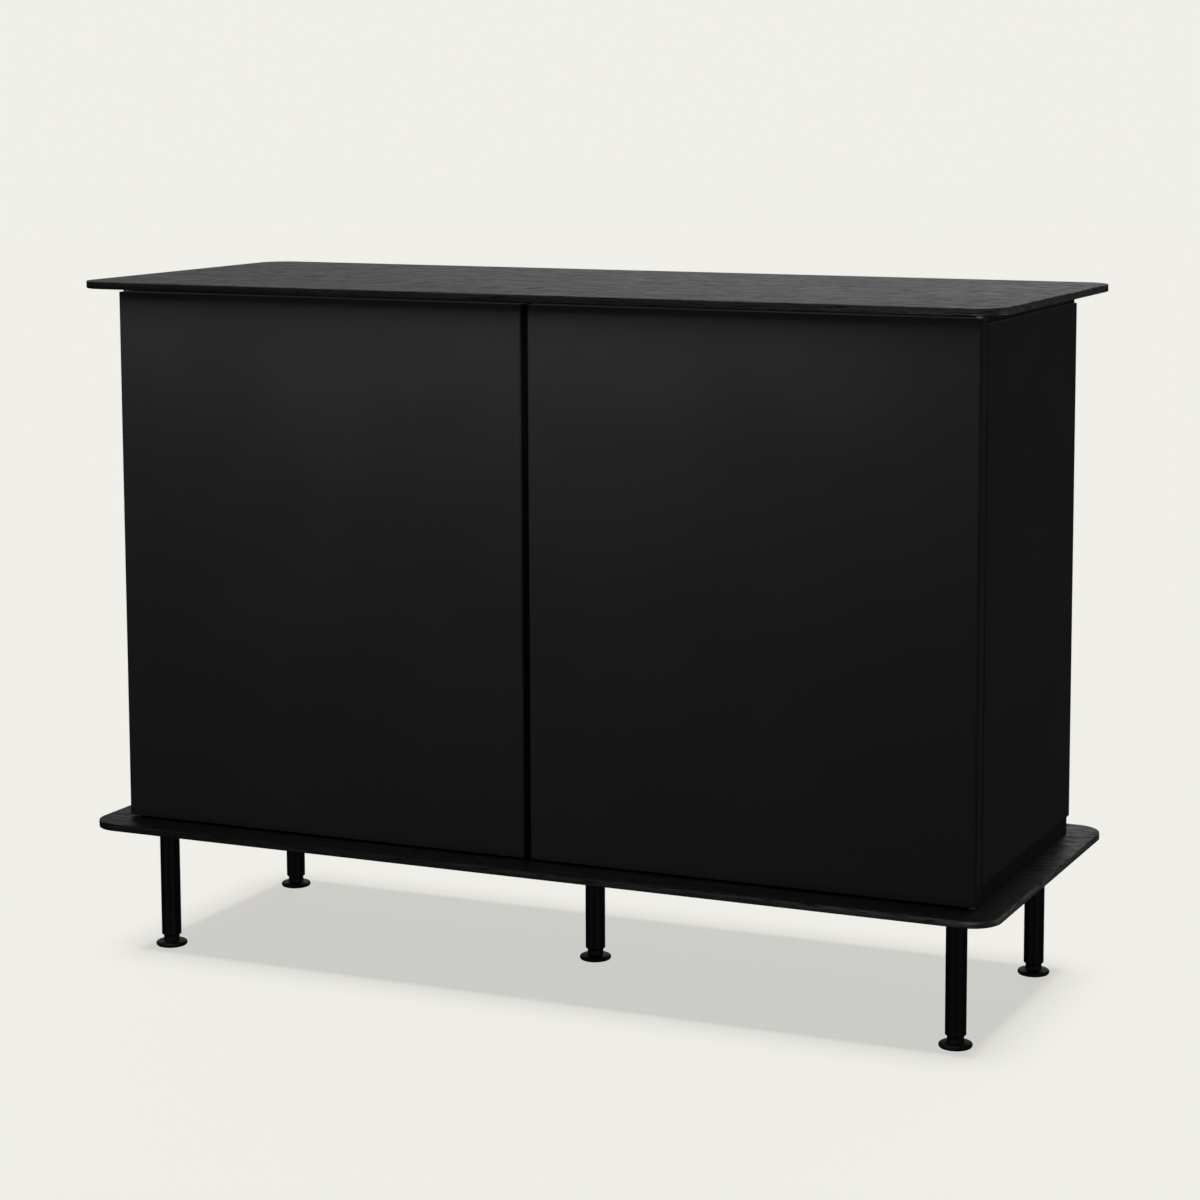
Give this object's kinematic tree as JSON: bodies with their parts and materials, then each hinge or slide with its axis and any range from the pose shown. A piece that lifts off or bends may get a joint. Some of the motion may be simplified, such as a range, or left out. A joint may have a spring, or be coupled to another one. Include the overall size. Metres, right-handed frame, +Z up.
{
  "type": "sideboard",
  "caption": "Low sideboard with hinged doors between overhanging thin plates, inner shelves, and slim tube legs with round levelling feet.",
  "frame": {"origin": "on the floor, below the middle of the plates", "axes": "+X along the width, +Y from the doors to the back, +Z up; the doors face -Y"},
  "size_m": [1.2, 0.48, 0.863],
  "materials": {
    "stained_oak": "open-grain oak veneer, stained black, matt lacquer",
    "black_board": "black-dyed board, matt lacquer",
    "powder_coat": "fine satin black powder coat on sheet steel",
    "leg_coat": "satin black powder coat on steel tube",
    "foot_plastic": "black glass-filled nylon",
    "bright_zinc": "zinc-plated steel",
    "black_screw": "black-oxide steel",
    "bush_plastic": "natural acetal",
    "latch_plastic": "moulded dark grey ABS",
    "soft_stop": "translucent silicone"
  },
  "bodies": {
    "cabinet": {"top_plate": "stained_oak", "bottom_plate": "stained_oak", "carcass_ceiling": "black_board", "carcass_floor": "black_board", "centre_partition": "black_board", "back_panel": "black_board", "carcass_side_left": "black_board", "carcass_side_right": "black_board", "shelf_left": "black_board", "shelf_right": "black_board", "shelf_pins": "bright_zinc", "side_skin_left": "powder_coat", "side_skin_right": "powder_coat", "skin_rails": "bright_zinc", "pivot_pins": "bright_zinc", "door_bumpers": "soft_stop", "latch_housings": "latch_plastic", "leg_front_left": "leg_coat", "leg_front_right": "leg_coat", "leg_rear_left": "leg_coat", "leg_rear_right": "leg_coat", "leg_centre": "leg_coat", "leg_top_plugs": "bright_zinc", "leg_foot_sockets": "bright_zinc", "leg_bolts": "bright_zinc", "top_plate_screws": "black_screw", "bottom_plate_screws": "black_screw", "connector_screws": "black_screw", "back_panel_screws": "black_screw", "rail_screws": "black_screw", "latch_screws": "black_screw"},
    "door_left": {"door_skin_left": "powder_coat", "door_core_left": "black_board", "door_bushes_left": "bush_plastic", "strike_plate_left": "bright_zinc", "strike_screws_left": "black_screw"},
    "latch_left": {"latch_plunger_left": "latch_plastic", "latch_magnet_left": "bright_zinc"},
    "door_right": {"door_skin_right": "powder_coat", "door_core_right": "black_board", "door_bushes_right": "bush_plastic", "strike_plate_right": "bright_zinc", "strike_screws_right": "black_screw"},
    "latch_right": {"latch_plunger_right": "latch_plastic", "latch_magnet_right": "bright_zinc"},
    "foot_front_left_body": {"foot_front_left": "foot_plastic"},
    "foot_front_right_body": {"foot_front_right": "foot_plastic"},
    "foot_rear_left_body": {"foot_rear_left": "foot_plastic"},
    "foot_rear_right_body": {"foot_rear_right": "foot_plastic"},
    "foot_centre_body": {"foot_centre": "foot_plastic"}
  },
  "joints": [
    {"name": "door_left_hinge", "type": "hinge", "parent": "cabinet", "child": "door_left", "pos_m": [-0.559, -0.185, 0.175], "axis": [0, 0, -1], "range_deg": [0, 110]},
    {"name": "latch_left_press", "type": "slide", "parent": "cabinet", "child": "latch_left", "axis": [0, 1, 0], "range_m": [0, 0.004], "stiffness_N_per_m": 400, "springref_m": -0.004},
    {"name": "door_right_hinge", "type": "hinge", "parent": "cabinet", "child": "door_right", "pos_m": [0.559, -0.185, 0.175], "axis": [0, 0, 1], "range_deg": [0, 110]},
    {"name": "latch_right_press", "type": "slide", "parent": "cabinet", "child": "latch_right", "axis": [0, 1, 0], "range_m": [0, 0.004], "stiffness_N_per_m": 400, "springref_m": -0.004},
    {"name": "foot_front_left_level", "type": "slide", "parent": "cabinet", "child": "foot_front_left_body", "axis": [0, 0, -1], "range_m": [0, 0.01]},
    {"name": "foot_front_right_level", "type": "slide", "parent": "cabinet", "child": "foot_front_right_body", "axis": [0, 0, -1], "range_m": [0, 0.01]},
    {"name": "foot_rear_left_level", "type": "slide", "parent": "cabinet", "child": "foot_rear_left_body", "axis": [0, 0, -1], "range_m": [0, 0.01]},
    {"name": "foot_rear_right_level", "type": "slide", "parent": "cabinet", "child": "foot_rear_right_body", "axis": [0, 0, -1], "range_m": [0, 0.01]},
    {"name": "foot_centre_level", "type": "slide", "parent": "cabinet", "child": "foot_centre_body", "axis": [0, 0, -1], "range_m": [0, 0.01]}
  ]
}
